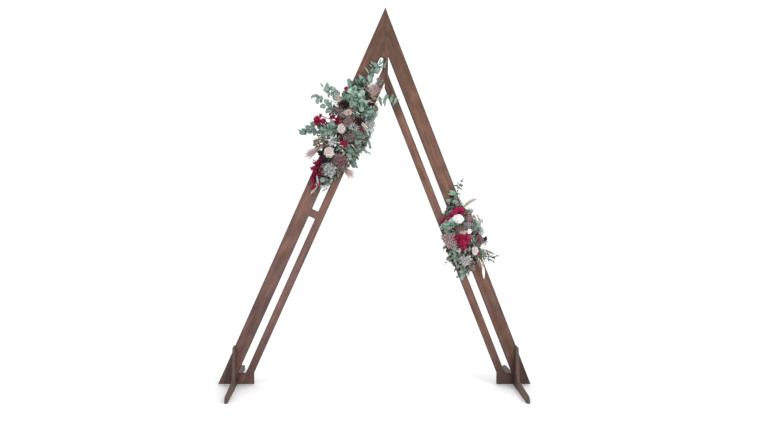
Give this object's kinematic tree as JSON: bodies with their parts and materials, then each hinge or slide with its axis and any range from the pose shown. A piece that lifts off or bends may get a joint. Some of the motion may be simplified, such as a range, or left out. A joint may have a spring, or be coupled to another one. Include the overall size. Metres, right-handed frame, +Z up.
{
  "type": "triangle wedding arch",
  "caption": "Free-standing triangular wedding arch of stained plywood with slotted legs, half-lapped feet and dried-flower swags tied to its legs.",
  "frame": {"origin": "on the ground, at the middle of the arch's overall width and depth", "axes": "+Z up; +X to the right seen from the front; +Y from the front to the back, so the front and its flowers face -Y"},
  "size_m": [1.8814, 0.69, 2.2031],
  "materials": {
    "stained_plywood": "brown stained birch plywood, matt, grain along each leg",
    "raw_plywood": "brown stained plywood, matt",
    "filler": "dull green and grey-brown dried filler",
    "twine": "cream jute twine",
    "eucalyptus": "preserved eucalyptus leaves, dull blue-green",
    "white_petal": "off-white paper-like petals",
    "blush_petal": "beige pink petals",
    "burgundy_petal": "very dark burgundy petals",
    "crimson_petal": "crimson dried blooms",
    "mauve_petal": "mauve-brown fuzzy dried blooms",
    "silver_leaf": "silver-grey felted lace leaves",
    "cone_scale": "brown cone scales with pale tips",
    "dried_grass": "tan dried grass"
  },
  "bodies": {
    "root": {"left_frame": "stained_plywood", "right_frame": "stained_plywood", "left_foot": "stained_plywood", "right_foot": "stained_plywood", "joining_plate": "raw_plywood", "upper_swag_base": "filler", "lower_swag_base": "filler", "upper_tie": "twine", "upper_wrap": "twine", "lower_tie": "twine", "upper_leaves_apex": "eucalyptus", "upper_spray_high": "eucalyptus", "upper_spray_mid": "eucalyptus", "upper_spray_left": "eucalyptus", "upper_leaves_low": "eucalyptus", "upper_leaves_foot": "eucalyptus", "upper_twig": "eucalyptus", "upper_leaves_crown": "eucalyptus", "upper_leaves_right": "eucalyptus", "lower_sprig": "eucalyptus", "lower_leaves_top": "eucalyptus", "lower_leaves_right": "eucalyptus", "lower_leaves_low": "eucalyptus", "lower_leaves_foot": "eucalyptus", "lower_twigs": "eucalyptus", "upper_white_rose_high": "white_petal", "upper_white_rose_low": "white_petal", "lower_white_rose": "white_petal", "lower_white_bud": "white_petal", "upper_blush_rose": "blush_petal", "upper_dark_rose": "burgundy_petal", "upper_crimson_middle": "crimson_petal", "upper_crimson_left": "crimson_petal", "upper_crimson_tail": "crimson_petal", "lower_crimson_bloom": "crimson_petal", "lower_crimson_band": "crimson_petal", "upper_mauve_bloom": "mauve_petal", "upper_heather": "mauve_petal", "lower_mauve_bloom": "mauve_petal", "lower_speckled_bloom": "mauve_petal", "upper_silver_low": "silver_leaf", "upper_silver_right": "silver_leaf", "lower_silver": "silver_leaf", "lower_cone": "cone_scale", "upper_plume_left": "dried_grass", "upper_plume_low": "dried_grass", "lower_plume": "dried_grass", "lower_blades": "dried_grass"}
  },
  "joints": []
}
